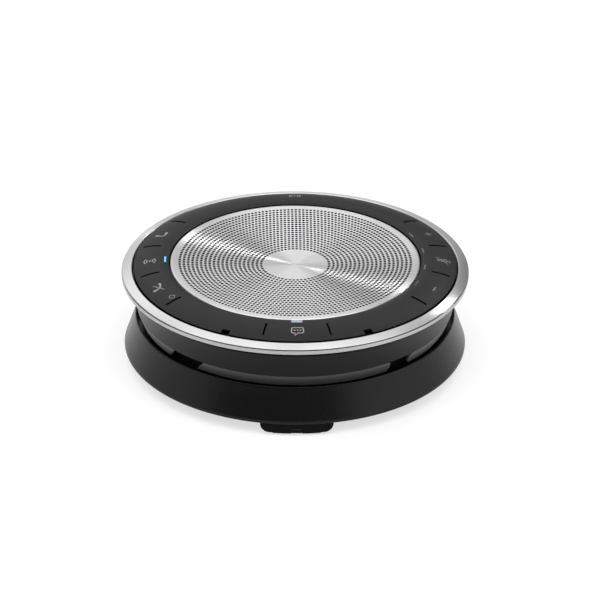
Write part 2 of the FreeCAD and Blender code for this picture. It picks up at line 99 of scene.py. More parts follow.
LIGHTS = {"call_light_guide": [(180.0, 44.6, 45.25, 4.2)],
          "app_light_guide": [(270.0, BEZEL_IN_R + 0.02, 46.35, 3.7)],
          "volume_light_guides": [(angle, 44.65, 45.2, 3.4) for angle in (-24.0, -8.0, 8.0, 24.0)]}
MIC_ANGLES = (270.0 - 25.3, 270.0 + 25.3)
MIC_NOTCH = (54.1, 2.8)

GRILLE_R = reach("grille") - 0.12
GRILLE_Z = top("grille")
GRILLE_DISH = 1.75
GRILLE_T = 0.6
HOLE_ROWS = 20
HOLE_FIRST_R = 11.8
HOLE_PITCH = 1.48
HOLE_R = 0.53
HOLE_SIDES = 12
FIRST_COUNT = 56
COUNT_STEP = 7
CELL_HALF = 0.56
DISC_RINGS = (9.0, 6.5, 4.0, 2.0, 0.8)
RIM_RINGS = (41.2, 42.0)
RIM_INNER_R = 41.6
RIM_ROLL = 0.45
RIM_DROP = 1.6


def crown_z(radius, depth=0.0):
    """Height of the key ring's surface, or of a surface a depth inside it."""
    bend = CROWN_R if radius >= CREST_R else BROW_R
    return CREST_Z - bend + math.sqrt((bend - depth) ** 2 - (radius - CREST_R) ** 2)


def dish_z(radius):
    return GRILLE_Z - GRILLE_DISH * (1 - (radius / GRILLE_R) ** 2)


def at(radius, angle, height):
    turn = math.radians(angle)
    return (radius * math.cos(turn), radius * math.sin(turn), height)


# ---- mesh helpers -------------------------------------------------------------------------
def piece(name, verts, faces, shades, body, slot, replaces=(), sharp=35.0, shade_of=None):
    """A mesh object from millimetre points, riding on a body if one is named.

    Points that no face uses are dropped. Shades is a material, or a list that shade_of picks from for each
    face number.
    """
    used = sorted({i for face in faces for i in face})
    place = {old: new for new, old in enumerate(used)}
    mesh = bpy.data.meshes.new(name)
    mesh.from_pydata([tuple(c * MM for c in verts[i]) for i in used], [],
                     [tuple(place[i] for i in face) for face in faces])
    mesh.polygons.foreach_set("use_smooth", [True] * len(mesh.polygons))
    mesh.set_sharp_from_angle(angle=math.radians(sharp))
    for shade in (shades if isinstance(shades, list) else [shades]):
        mesh.materials.append(shade)
    if shade_of:
        mesh.polygons.foreach_set("material_index", [shade_of(i) for i in range(len(mesh.polygons))])
    made = bpy.data.objects.new(name, mesh)
    bpy.context.scene.collection.objects.link(made)
    if body:
        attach(made, body)
    if replaces:
        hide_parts(*replaces)
    return made


def dropped(verts, faces, depth):
    """A surface given a thickness straight down, with upright walls round its rims."""
    count = len(verts)
    sides = {(a, b) for face in faces for a, b in zip(face, face[1:] + face[:1])}
    rims = [(a, b) for a, b in sides if (b, a) not in sides]
    lower = [(x, y, z - depth) for x, y, z in verts]
    walls = [(b, a, a + count, b + count) for a, b in sorted(rims)]
    return verts + lower, faces + [tuple(i + count for i in reversed(face)) for face in faces] + walls


def ease_edges(made, width, keep_sharp=(), angle=50.0):
    """Rounds the sharp edges, apart from those that run round the ring at one of the given radii."""
    mesh = made.data
    weights = mesh.attributes.new("bevel_weight_edge", "FLOAT", "EDGE")
    normals = {}
    for polygon in mesh.polygons:
        for key in polygon.edge_keys:
            normals.setdefault(key, []).append(polygon.normal)
    for edge in mesh.edges:
        around = normals[tuple(sorted(edge.vertices))]
        bent_enough = len(around) == 2 and around[0].angle(around[1], 0.0) > math.radians(angle)
        ends = [mesh.vertices[i].co.to_2d().length / MM for i in edge.vertices]
        kept = any(all(abs(end - radius) < 0.01 for end in ends) for radius in keep_sharp)
        weights.data[edge.index].value = float(bent_enough and not kept)
    ease = made.modifiers.new("edge", "BEVEL")
    ease.width = width * MM
    ease.segments = 2
    ease.limit_method = "WEIGHT"
    return made


def softened(outline, steps=4):
    """Outline of (radius, height, fillet) corners with each fillet drawn as a short arc."""
    points = []
    count = len(outline)
    for i, (r, z, fillet) in enumerate(outline):
        here = mathutils.Vector((r, z))
        if fillet <= 0:
            points.append((r, z))
            continue
        back = (mathutils.Vector(outline[i - 1][:2]) - here).normalized()
        on = (mathutils.Vector(outline[(i + 1) % count][:2]) - here).normalized()
        half = back.angle(on) / 2
        reach_along = fillet / math.tan(half)
        centre = here + (back + on).normalized() * (fillet / math.sin(half))
        start, end = here + back * reach_along, here + on * reach_along
        for step in range(steps + 1):
            t = step / steps
            spoke = (start.lerp(end, t) - centre).normalized() * fillet
            points.append(tuple(centre + spoke))
    return points


def lathe(outline, turns):
    """Closed outline turned about Z."""
    count = len(outline)
    verts = [at(r, 360.0 * j / turns, z) for j in range(turns) for r, z in outline]
    faces = []
    for j in range(turns):
        here, there = j * count, ((j + 1) % turns) * count
        for i in range(count):
            k = (i + 1) % count
            faces.append((here + i, there + i, there + k, here + k))
    return verts, faces


def bent(start, middle, end, steps):
    """Points of a smooth bend from start to end that passes through the middle, without the last."""
    points = []
    for step in range(steps):
        t = step / steps
        u = 1 - t
        control = [2 * m - 0.5 * (a + b) for a, m, b in zip(start, middle, end)]
        points.append(tuple(u * u * a + 2 * u * t * c + t * t * b for a, c, b in zip(start, control, end)))
    return points


def solid(made, thickness, bevel):
    """Gives a surface its thickness inwards, and rounds the edges that this makes."""
    thicken = made.modifiers.new("thickness", "SOLIDIFY")
    thicken.thickness = thickness * MM
    thicken.offset = -1.0
    thicken.use_even_offset = False
    edge = made.modifiers.new("edge", "BEVEL")
    edge.width = bevel * MM
    edge.segments = 3
    edge.limit_method = "ANGLE"
    edge.angle_limit = math.radians(50.0)
    edge.harden_normals = False


# ---- node materials -----------------------------------------------------------------------
class Nodes:
    """Small wrapper that adds and joins shader nodes of one material."""

    def __init__(self, name):
        self.material = bpy.data.materials.new(name)
        self.material.use_nodes = True
        self.tree = self.material.node_tree
        self.shader = self.tree.nodes["Principled BSDF"]

    def add(self, kind, **values):
        node = self.tree.nodes.new(kind)
        for key, value in values.items():
            if key in node.inputs:
                node.inputs[key].default_value = value
            else:
                setattr(node, key, value)
        return node

    def join(self, source, target):
        self.tree.links.new(source, target)

    def set(self, **values):
        for key, value in values.items():
            self.shader.inputs[key.replace("_", " ")].default_value = value

    def coordinates(self):
        return self.add("ShaderNodeTexCoord").outputs["Object"]

    def noise(self, vector, scale, detail=2.0, roughness=0.5):
        node = self.add("ShaderNodeTexNoise", Scale=scale, Detail=detail, Roughness=roughness)
        self.join(vector, node.inputs["Vector"])
        return node.outputs["Fac"]

    def spread(self, value, low, high):
        node = self.add("ShaderNodeMapRange")
        self.join(value, node.inputs["Value"])
        node.inputs["To Min"].default_value = low
        node.inputs["To Max"].default_value = high
        return node.outputs["Result"]

    def blend(self, value, dark, light):
        node = self.add("ShaderNodeMix", data_type="RGBA")
        self.join(value, node.inputs["Factor"])
        node.inputs["A"].default_value = (*dark, 1.0)
        node.inputs["B"].default_value = (*light, 1.0)
        return node.outputs["Result"]

    def bump(self, height, distance, strength=1.0):
        node = self.add("ShaderNodeBump", Strength=strength, Distance=distance)
        self.join(height, node.inputs["Height"])
        self.join(node.outputs["Normal"], self.shader.inputs["Normal"])


def turned_metal(name, dark, light, roughness, anisotropy, line_scale):
    """Metal brushed in circles about the Z axis: fine concentric lines that differ in tone and gloss."""
    n = Nodes(name)
    split = n.add("ShaderNodeSeparateXYZ")
    n.join(n.coordinates(), split.inputs["Vector"])
    flat = n.add("ShaderNodeCombineXYZ")
    n.join(split.outputs["X"], flat.inputs["X"])
    n.join(split.outputs["Y"], flat.inputs["Y"])
    length = n.add("ShaderNodeVectorMath", operation="LENGTH")
    n.join(flat.outputs["Vector"], length.inputs[0])
    turn = n.add("ShaderNodeMath", operation="ARCTAN2")
    n.join(split.outputs["Y"], turn.inputs[0])
    n.join(split.outputs["X"], turn.inputs[1])
    shrink = n.add("ShaderNodeMath", operation="MULTIPLY")
    n.join(turn.outputs["Value"], shrink.inputs[0])
    shrink.inputs[1].default_value = 0.0006
    rings = n.add("ShaderNodeCombineXYZ")
    n.join(length.outputs["Value"], rings.inputs["X"])
    n.join(shrink.outputs["Value"], rings.inputs["Y"])
    lines = n.noise(rings.outputs["Vector"], line_scale, 4.0, 0.7)
    n.join(n.blend(lines, dark, light), n.shader.inputs["Base Color"])
    n.join(n.spread(lines, roughness - 0.05, roughness + 0.06), n.shader.inputs["Roughness"])
    n.set(Metallic=1.0, Anisotropic=anisotropy, Anisotropic_Rotation=0.25)
    tangent = n.add("ShaderNodeTangent", direction_type="RADIAL", axis="Z")
    n.join(tangent.outputs["Tangent"], n.shader.inputs["Tangent"])
    n.bump(lines, 0.000004, 0.5)
    return n.material


def moulded(name, dark, light, roughness, grain_scale, grain_depth, specular=0.5, sheen=0.0):
    """Moulded plastic, paint or rubber: a fine surface grain and a slight drift of tone."""
    n = Nodes(name)
    place = n.coordinates()
    grain = n.noise(place, grain_scale, 3.0, 0.6)
    mottle = n.noise(place, 60.0, 2.0)
    n.join(n.blend(mottle, dark, light), n.shader.inputs["Base Color"])
    n.join(n.spread(grain, roughness - 0.06, roughness + 0.06), n.shader.inputs["Roughness"])
    n.shader.inputs["Specular IOR Level"].default_value = specular
    n.set(Sheen_Weight=sheen)
    n.bump(grain, grain_depth, 0.6)
    return n.material


def woven(name, dark, light, pitch):
    """Fine cloth: two crossed bands of threads."""
    n = Nodes(name)
    place = n.coordinates()
    waves = []
    for direction in ("X", "Y"):
        wave = n.add("ShaderNodeTexWave", wave_type="BANDS", bands_direction=direction, Scale=0.16 / pitch)
        n.join(place, wave.inputs["Vector"])
        waves.append(wave.outputs["Fac"])
    cross = n.add("ShaderNodeMath", operation="MULTIPLY")
    n.join(waves[0], cross.inputs[0])
    n.join(waves[1], cross.inputs[1])
    n.join(n.blend(cross.outputs["Value"], dark, light), n.shader.inputs["Base Color"])
    n.set(Roughness=0.9)
    n.bump(cross.outputs["Value"], 0.00005)
    return n.material


def light_window(name, colour, strength):
    """Frosted light guide with a soft glow that drifts a little in tone."""
    n = Nodes(name)
    drift = n.noise(n.coordinates(), 900.0, 1.0)
    n.join(n.blend(drift, tuple(c * 0.92 for c in colour), colour), n.shader.inputs["Base Color"])
    n.join(n.blend(drift, tuple(c * 0.9 for c in colour), colour), n.shader.inputs["Emission Color"])
    n.set(Roughness=0.35, Emission_Strength=strength)
    return n.material


def grey(tone):
    return (tone, tone, tone)


# turned_metal: dark and light tone, roughness, anisotropy, line scale. moulded: dark and light tone, roughness,
# grain scale and depth, specular level. woven: dark and light tone, thread pitch. light_window: colour, glow.
MATERIALS = {
    "grille_steel": turned_metal("turned_grille_steel", grey(0.67), grey(0.81), 0.32, 1.0, 5200.0),
    # a lighter painted copy of the grille steel, used for the steel among the holes
    "perforated_steel_painted_lighter": turned_metal("turned_steel_painted_lighter", grey(0.73), grey(0.88), 0.32, 1.0, 5200.0),
    "polished_steel": turned_metal("turned_ring_steel", grey(0.66), grey(0.79), 0.29, 1.0, 6500.0),
    # a darker painted-shade copy of the ring steel, for the ring's upright band
    "ring_side_shaded_steel": turned_metal("turned_ring_side_painted_shade", grey(0.42), grey(0.52), 0.3, 0.9, 6500.0),
    "bowl_plastic": moulded("black_satin_bowl", grey(0.005), grey(0.007), 0.34, 4200.0, 0.00002, 0.14),
    "soft_touch": moulded("charcoal_soft_touch", grey(0.011), grey(0.014), 0.48, 5200.0, 0.00002, 0.21),
    "black_plastic": moulded("black_moulded_plastic", grey(0.004), grey(0.006), 0.26, 4200.0, 0.00001, 0.24),
    "skirt_plastic": moulded("black_skirt_plastic", grey(0.004), grey(0.006), 0.27, 4200.0, 0.00001, 0.21),
    "grey_plastic": moulded("grey_moulded_plastic", grey(0.040), grey(0.046), 0.34, 4200.0, 0.000015, 0.4),
    "strip_plastic": moulded("grey_strip_plastic", grey(0.010), grey(0.013), 0.34, 4200.0, 0.000015, 0.36,
                             sheen=0.35),
    "acoustic_cloth": woven("acoustic_cloth", grey(0.0015), grey(0.004), 0.0003),
    "circuit_board": moulded("green_solder_mask", (0.004, 0.05, 0.02), (0.006, 0.08, 0.03), 0.3, 900.0,
                             0.00001),
    "components": moulded("component_moulding", grey(0.01), grey(0.02), 0.5, 3000.0, 0.00001),
    "plated_steel": moulded("zinc_plated_steel", grey(0.35), grey(0.5), 0.35, 2500.0, 0.00001),
    "black_rubber": moulded("black_rubber", grey(0.008), grey(0.012), 0.7, 3500.0, 0.00002, 0.3),
    "flex_film": moulded("amber_flex_film", (0.35, 0.16, 0.03), (0.45, 0.22, 0.05), 0.3, 800.0, 0.000005),
    "dark_alloy": moulded("dark_cast_alloy", grey(0.02), grey(0.04), 0.5, 3000.0, 0.00002),
    "paper_cone": moulded("pressed_paper_cone", grey(0.012), grey(0.02), 0.85, 1500.0, 0.00004),
    "treated_cloth": woven("treated_cloth", (0.12, 0.06, 0.02), (0.2, 0.11, 0.04), 0.0004),
    "copper": moulded("enamelled_copper", (0.4, 0.14, 0.06), (0.5, 0.2, 0.09), 0.3, 2500.0, 0.00002),
    "battery_film": moulded("battery_foil", grey(0.3), grey(0.36), 0.35, 700.0, 0.00002),
    "blue_light": light_window("lit_blue_guide", (0.05, 0.44, 1.0), 0.85),
    "pale_light": light_window("pale_light_guide", (0.26, 0.37, 0.41), 0.26),
    # painted shade: near-black for the walls of holes, slits and openings, the ring's underside edge and shadow
    # line, and the bowl's lip under the ring
    "painted_shade": moulded("painted_shade_black", grey(0.0015), grey(0.003), 0.6, 3000.0, 0.00001, 0.03),
    "icon_ink": moulded("pale_icon_ink", grey(0.25), grey(0.31), 0.6, 4000.0, 0.000004),
    "mark_plastic": moulded("dark_mark", grey(0.014), grey(0.018), 0.5, 4200.0, 0.00001, 0.1),
    "dock_plastic": moulded("black_dock_plastic", grey(0.003), grey(0.004), 0.5, 4200.0, 0.00001, 0.06),
    # unlit guides, given a faint painted glow
    "dash_light": light_window("faintly_glowing_light_guide", (0.10, 0.103, 0.106), 0.01),
}


# ---- grille -------------------------------------------------------------------------------
def perforated_grille():
    """Dished steel disc: plain middle, rows of round holes, plain rolled rim."""
    verts, faces = [], []

    def ring_of(radius, count, height):
        start = len(verts)
        verts.extend(at(radius, 90.0 + 360.0 * j / count, height) for j in range(count))
        return [start + j for j in range(count)]

    def sew(inner, outer, flip):
        """Triangles between two rings of different counts."""
        i = j = 0
        n, m = len(inner), len(outer)
        while i < n or j < m:
            if j >= m or (i < n and (i + 0.5) / n < (j + 0.5) / m):
                face = (inner[i % n], outer[j % m], inner[(i + 1) % n])
                i += 1
            else:
                face = (inner[i % n], outer[j % m], outer[(j + 1) % m])
                j += 1
            faces.append(face if flip else face[::-1])

    def band_quads(inner, outer, flip):
        n = len(inner)
        for j in range(n):
            face = (inner[j], inner[(j + 1) % n], outer[(j + 1) % n], outer[j])
            faces.append(face if flip else face[::-1])

    def hole_row(radius, count, low, flip):
        """One row of cells, each with a round hole. Returns its edge rings and its holes."""
        inner, outer = [ring_of(edge, count, dish_z(edge) - low)
                        for edge in (radius - CELL_HALF, radius + CELL_HALF)]
        quarter = HOLE_SIDES // 4
        holes = []
        for j in range(count):
            centre = 90.0 + 360.0 * (j + 0.5) / count
            cx, cy, _ = at(radius, centre, 0.0)
            start = len(verts)
            for k in range(HOLE_SIDES):
                spin = math.radians(centre + 360.0 * (k + 0.5) / HOLE_SIDES)
                x, y = cx + HOLE_R * math.cos(spin), cy + HOLE_R * math.sin(spin)
                verts.append((x, y, dish_z(math.hypot(x, y)) - low))
            hole = [start + k for k in range(HOLE_SIDES)]
            holes.append(hole)
            corners = [outer[j], outer[(j + 1) % count], inner[(j + 1) % count], inner[j]]
            for side in range(4):
                first = quarter * side - 2      # the hole's point nearest this corner of the cell
                run = [hole[(first + step) % HOLE_SIDES] for step in range(quarter + 1)]
                face = [corners[side], *run, corners[(side + 1) % 4]]
                faces.append(tuple(face[::-1] if flip else face))
        return inner, outer, holes

    layers = []
    for low, flip in ((0.0, False), (GRILLE_T, True)):
        rows = [hole_row(HOLE_FIRST_R + HOLE_PITCH * k, FIRST_COUNT + COUNT_STEP * k, low, flip)
                for k in range(HOLE_ROWS)]
        for before, after in zip(rows[:-1], rows[1:]):
            sew(before[1], after[0], flip)
        count = FIRST_COUNT
        previous = rows[0][0]
        for radius in DISC_RINGS:
            disc = ring_of(radius, count, dish_z(radius) - low)
            band_quads(disc, previous, flip)
            previous = disc
        centre = len(verts)
        verts.append((0.0, 0.0, dish_z(0.0) - low))
        for j in range(count):
            face = (centre, previous[j], previous[(j + 1) % count])
            faces.append(face[::-1] if flip else face)
        layers.append(rows)

    rim_count = FIRST_COUNT + COUNT_STEP * (HOLE_ROWS - 1)
    roll_r = GRILLE_R - RIM_ROLL
    wall_r = GRILLE_R - GRILLE_T
    sections = [(r, dish_z(r)) for r in (*RIM_RINGS, roll_r)]
    for step in range(1, 6):
        turn = math.radians(18.0 * step)
        sections.append((roll_r + RIM_ROLL * math.sin(turn), dish_z(roll_r) - RIM_ROLL + RIM_ROLL * math.cos(turn)))
    sections += [(GRILLE_R, GRILLE_Z - RIM_DROP), (wall_r, GRILLE_Z - RIM_DROP),
                 (wall_r, dish_z(wall_r) - GRILLE_T), (RIM_INNER_R, dish_z(RIM_INNER_R) - GRILLE_T)]
    previous = layers[0][-1][1]
    for radius, height in sections:
        current = ring_of(radius, rim_count, height)
        band_quads(previous, current, False)
        previous = current
    band_quads(previous, layers[1][-1][1], False)

    walls_from = len(faces)
    for upper_row, lower_row in zip(*layers):
        for upper, lower in zip(upper_row[2], lower_row[2]):
            for k in range(HOLE_SIDES):
                n = (k + 1) % HOLE_SIDES
                faces.append((upper[k], upper[n], lower[n], lower[k]))
    inside = HOLE_FIRST_R - CELL_HALF - 0.01
    outside = HOLE_FIRST_R + HOLE_PITCH * (HOLE_ROWS - 1) + CELL_HALF + 0.01

    # Hole walls carry painted shade; the steel among the holes is a lighter painted copy of the grille steel.
    def shade_of(face):
        among_holes = all(inside < math.hypot(*verts[i][:2]) < outside for i in faces[face])
        return 1 if face >= walls_from else 2 * int(among_holes)

    shades = [MATERIALS["grille_steel"], MATERIALS["painted_shade"], MATERIALS["perforated_steel_painted_lighter"]]
    piece("perforated_grille", verts, faces, shades, "housing", "grille_steel", ["grille"], shade_of=shade_of)


# ---- key ring -----------------------------------------------------------------------------
def apart(angle, other):
    return abs((angle - other + 180.0) % 360.0 - 180.0)


def line_angle(line, radius):
    """Angle of a grid line at a radius. A line runs parallel to its ray, an offset beside it."""
    ray, offset = line
    return ray + math.degrees(math.asin(offset / radius))


GRID_ANGLE = 1.5
GRID_R = 0.6
MIDDLE_R = 50.0
RING_DEPTH = 1.4
KEY_DEPTH = 2.0
EASE = 0.04


def grid_lines(breaks, start, end, clear=0.5):
    """The break lines, with plain lines between them that stay clear of them."""
    lines = list(breaks)
    count = round((end - start) / GRID_ANGLE)
    for i in range(count):
        angle = start + (end - start) * i / count
        if min(apart(line_angle(b, r), angle) for b in breaks for r in (BEZEL_IN_R, BEZEL_OUT_R)) > clear:
            lines.append((angle, 0.0))
    return sorted(lines, key=lambda line: line_angle(line, MIDDLE_R))


def crown_patch(lines, radii, wrap, is_open=None, lift=0.0):
    """Grid on the key ring's surface, with the cells that are open left out."""
    verts = [at(r, line_angle(line, r), crown_z(r) + lift) for r in radii for line in lines]
    count = len(lines)
    faces = []
    for i in range(len(radii) - 1):
        for j in range(count if wrap else count - 1):
            k = (j + 1) % count
            middle_r = (radii[i] + radii[i + 1]) / 2
            here, there = line_angle(lines[j], middle_r), line_angle(lines[k], middle_r)
            if there < here:
                there += 360.0
            if is_open and is_open(middle_r, (here + there) / 2):
                continue
            faces.append((i * count + j, (i + 1) * count + j, (i + 1) * count + k, i * count + k))
    return verts, faces


def steps_between(breaks, step):
    """The break values with evenly spaced values between them."""
    values = []
    for low, high in zip(breaks[:-1], breaks[1:]):
        count = max(1, round((high - low) / step))
        values += [low + (high - low) * i / count for i in range(count)]
    return values + [breaks[-1]]


def key_ring():
    """The fixed part of the key ring, with openings for keys, lights and microphones."""
    breaks = []
    for middle, span, place in KEY_GROUPS:
        half_slit = SLIT[place] / 2
        breaks += [((middle - span / 2) % 360.0, -half_slit), ((middle + span / 2) % 360.0, half_slit)]
    windows = [window for group in LIGHTS.values() for window in group]
    for angle, _, _, length in windows:
        breaks += [(angle % 360.0, -length / 2), (angle % 360.0, length / 2)]
    for angle in MIC_ANGLES:
        breaks += [(angle, -MIC_NOTCH[1] / 2), (angle, MIC_NOTCH[1] / 2)]
    lines = grid_lines(breaks, GRID_ANGLE / 2, 360.0 + GRID_ANGLE / 2)
    edges = {BEZEL_IN_R, CREST_R + 0.3, KEY_IN_R, KEY_OUT_R, MIC_NOTCH[0], BEZEL_OUT_R}
    edges.update(edge for _, inner, outer, _ in windows for edge in (inner, outer) if edge > BEZEL_IN_R)
    edges = sorted(edges)
    radii = steps_between(edges, GRID_R)

    def is_open(radius, angle):
        for middle, span, _ in KEY_GROUPS:
            if KEY_IN_R < radius < KEY_OUT_R and apart(angle, middle) < span / 2 + 0.1:
                return True
        for window_angle, inner, outer, length in windows:
            across = radius * math.sin(math.radians(apart(angle, window_angle)))
            if inner < radius < outer and apart(angle, window_angle) < 20 and across < length / 2:
                return True
        return radius > MIC_NOTCH[0] and any(
            radius * math.sin(math.radians(apart(angle, mic))) < MIC_NOTCH[1] / 2 for mic in MIC_ANGLES
            if apart(angle, mic) < 20)

    verts, faces = crown_patch(lines, radii, True, is_open)
    skin = 2 * len(faces)
    verts, faces = dropped(verts, faces, RING_DEPTH)
    # The walls of the openings and slits carry painted shade.
    made = piece("key_ring_skin", verts, faces, [MATERIALS["soft_touch"], MATERIALS["painted_shade"]], "housing",
                 "soft_touch", ["key_bezel"], shade_of=lambda face: int(face >= skin))
    ease_edges(made, EASE, (KEY_IN_R, KEY_OUT_R))


def key_cap(name, angle):
    half_slit = SLIT["front" if name == "app" else "side"] / 2
    first, last = angle - KEY_SPAN / 2, angle + KEY_SPAN / 2
    lines = grid_lines([(first, half_slit), (last, -half_slit)], first + GRID_ANGLE, last, 0.4)
    lines = [line for line in lines if apart(line_angle(line, MIDDLE_R), angle) < KEY_SPAN / 2]
    radii = steps_between([KEY_IN_R + KEY_FIT, KEY_OUT_R - KEY_FIT], GRID_R)
    verts, faces = crown_patch(lines, radii, False)
    skin = 2 * len(faces)
    verts, faces = dropped(verts, faces, KEY_DEPTH)
    # The key's side walls carry painted shade, darkening the slits.
    made = piece("keycap_" + name, verts, faces, [MATERIALS["soft_touch"], MATERIALS["painted_shade"]],
                 "key_%s_body" % name, "soft_touch", ["key_" + name], shade_of=lambda face: int(face >= skin))
    ease_edges(made, EASE, (KEY_IN_R + KEY_FIT, KEY_OUT_R - KEY_FIT))


def light_windows():
    """Light guides flush with the key ring, with softened edges."""
    for node, windows in LIGHTS.items():
        verts, faces = [], []
        for angle, inner, outer, length in windows:
            half = length / 2 - 0.02
            lines = [(angle, half * (2 * i / 8 - 1)) for i in range(9)]
            radii = steps_between([inner + 0.02, outer - 0.02], 0.3)
            more_verts, more_faces = crown_patch(lines, radii, False, None, 0.01)
            faces += [tuple(len(verts) + i for i in face) for face in more_faces]
            verts += more_verts
        slot = "blue_light" if node == "call_light_guide" else "pale_light"
        shade = {"call_light_guide": "blue_light", "app_light_guide": "pale_light"}.get(node, "dash_light")
        verts, faces = dropped(verts, faces, 0.8)
        ease_edges(piece(node + "_face", verts, faces, MATERIALS[shade], "housing", slot, [node]), 0.05)


# ---- turned shells ------------------------------------------------------------------------
RING_R = reach("steel_ring")
RING_FOOT = foot("steel_ring")
RING_TOP = top("steel_ring")
HOUSING_TOP = top("lower_housing")
STRIP_TOP = top("guard_strip_front")
STRIP_FOOT = foot("guard_strip_front")
STRIP_TOP_R = 54.98
STRIP_FOOT_R = 53.42
RECESS_R = 52.2
SKIRT_RIM = (55.6, top("base_skirt"))
SKIRT_EDGE = (reach("base_skirt"), 5.05)
SKIRT_FOOT = foot("base_skirt")


def turned_piece(name, outline, shades, slot, node, turns=288, shade_at=lambda radius, height: 0):
    """A piece turned from its outline. Shade_at picks from shades by the middle of each outline step."""
    verts, faces = lathe(outline, turns)
    picks = [shade_at(*[(a + b) / 2 for a, b in zip(here, there)])
             for here, there in zip(outline, outline[1:] + outline[:1])]
    piece(name, verts, faces, [MATERIALS[shade] for shade in shades], "housing", slot, [node], 40.0,
          lambda face: picks[face % len(picks)])


def trim_ring():
    """Sloping polished top with a bright inner bevel, a shadow line (a small step with painted shade in it), and a
    short upright band in a darker painted-shade copy of the steel, with painted shade on its underside edge.
    """
    line_z = RING_TOP - 0.86
    band_z = RING_TOP - 1.28
    outline = softened([(56.36, RING_TOP - 0.22, 0.08), (56.62, RING_TOP, 0.22),
                        (RING_R - 0.24, line_z + 0.08, 0.16), (RING_R - 0.26, line_z - 0.08, 0.0),
                        (RING_R - 0.62, line_z - 0.16, 0.0), (RING_R - 0.62, band_z + 0.06, 0.0),
                        (RING_R, band_z, 0.10), (RING_R, RING_FOOT, 0.22), (58.9, RING_FOOT, 0.0),
                        (58.9, 32.2, 0.0), (57.3, 32.5, 0.0), (57.3, RING_FOOT, 0.0), (56.36, RING_FOOT, 0.0)])

    # Painted shade on the underside edge and in the shadow line's step; the upright band takes the darker
    # painted-shade copy of the steel.
    def shade_at(radius, height):
        if height < RING_FOOT + 0.13 or line_z - 0.17 < height < line_z - 0.09 and radius < RING_R - 0.2:
            return 2
        return int(height < line_z and radius > 59.0)

    turned_piece("steel_trim_ring", outline[::-1], ["polished_steel", "ring_side_shaded_steel", "painted_shade"],
                 "polished_steel", "steel_ring", 360, shade_at)


def bowl():
    """The side above the waist strip, with painted shade at its lip under the ring, and the recess that the strip
    lies in.
    """
    lip = (58.1, HOUSING_TOP - 0.8)
    outline = [(30.0, 13.6), (51.0, 13.6), (51.85, 13.95), (RECESS_R, 14.8), (RECESS_R, STRIP_TOP + 0.1)]
    outline += bent((STRIP_TOP_R, STRIP_TOP + 0.1), (56.3, 25.5), lip, 14)
    outline += [lip, (58.25, HOUSING_TOP - 0.7), (58.3, HOUSING_TOP), (56.7, HOUSING_TOP), (54.75, 25.6),
                (53.3, 21.9), (50.6, 21.2), (50.6, 15.2), (30.0, 15.2)]
    # The lip just under the steel ring carries painted shade.
    turned_piece("bowl_shell", outline, ["bowl_plastic", "painted_shade"], "black_plastic", "lower_housing",
                 shade_at=lambda radius, height: int(height > HOUSING_TOP - 0.75))


def skirt():
    """Flared base with a rounded rim and a small round at its foot."""
    edge_r, rim_z = SKIRT_EDGE[0], SKIRT_RIM[1]
    outline = [(26.0, 10.6), (55.6, 10.6), (57.7, 5.3), (58.2, SKIRT_FOOT), (edge_r - 0.45, SKIRT_FOOT),
               (edge_r - 0.18, SKIRT_FOOT + 0.12), (edge_r - 0.04, SKIRT_FOOT + 0.36)]
    outline += bent(SKIRT_EDGE, (57.3, 11.3), SKIRT_RIM, 16)
    outline += [SKIRT_RIM, (55.5, rim_z + 0.12), (55.35, rim_z + 0.16), (55.2, rim_z + 0.12), (55.1, rim_z - 0.05),
                (55.1, 12.0), (26.0, 12.0)]
    turned_piece("flared_skirt", outline, ["skirt_plastic"], "black_plastic", "base_skirt")


def strip_length(name, start, end, replaces):
    """A length of the waist strip. Each end is (angle at the foot, angle at the top, corner)."""
    rows = [0.0, 0.06, 0.14, 0.3, 0.5, 0.7, 0.86, 0.94, 1.0]
    columns = max(24, round((end[0] - start[0]) / 1.5))

    def edge(limit, v, sign):
        foot_angle, top_angle, corner = limit
        pull = corner * (1 - math.sqrt(max(0.0, 1 - (2 * v - 1) ** 2)))
        return foot_angle + (top_angle - foot_angle) * v + sign * pull

    verts = []
    for v in rows:
        low, high = edge(start, v, 1.0), edge(end, v, -1.0)
        radius = STRIP_FOOT_R + (STRIP_TOP_R - STRIP_FOOT_R) * v
        height = STRIP_FOOT + (STRIP_TOP - STRIP_FOOT) * v
        verts += [at(radius, low + (high - low) * j / columns, height) for j in range(columns + 1)]
    width = columns + 1
    faces = [(i * width + j, i * width + j + 1, (i + 1) * width + j + 1, (i + 1) * width + j)
             for i in range(len(rows) - 1) for j in range(columns)]
    made = piece(name, verts, faces, MATERIALS["strip_plastic"], "housing", "grey_plastic", replaces)
    solid(made, 0.9, 0.12)


# ---- loudspeaker suspension ---------------------------------------------------------------
FLEX_LENGTHS = 12
FLEX_STEPS = 12
SPIDER_T = 0.25


def flexing_ring(node, outline, moving_r, still_r):
    """A round suspension in equal lengths, each reaching outwards from the cone to the basket."""
    width = 360.0 / FLEX_LENGTHS
    count = len(outline)
    for length in range(FLEX_LENGTHS):
        middle = width * length
        verts = [at(radius, middle + width * (j / FLEX_STEPS - 0.5), height)
                 for j in range(FLEX_STEPS + 1) for radius, height in outline]
        faces = [(j * count + i, (j + 1) * count + i, (j + 1) * count + k, j * count + k)
                 for j in range(FLEX_STEPS) for i, k in zip(range(count), [*range(1, count), 0])]
        faces += [tuple(range(count)), tuple(range(len(verts) - 1, len(verts) - 1 - count, -1))]
        made = piece("%s_length_%d" % (node, length + 1), verts, faces, MATERIALS[SLOTS[node]], None, SLOTS[node],
                     [node])
        start, end = [[c * MM for c in at(radius, middle, outline[0][1])] for radius in (moving_r, still_r)]
        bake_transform(made)
        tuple(start)
        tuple(end)


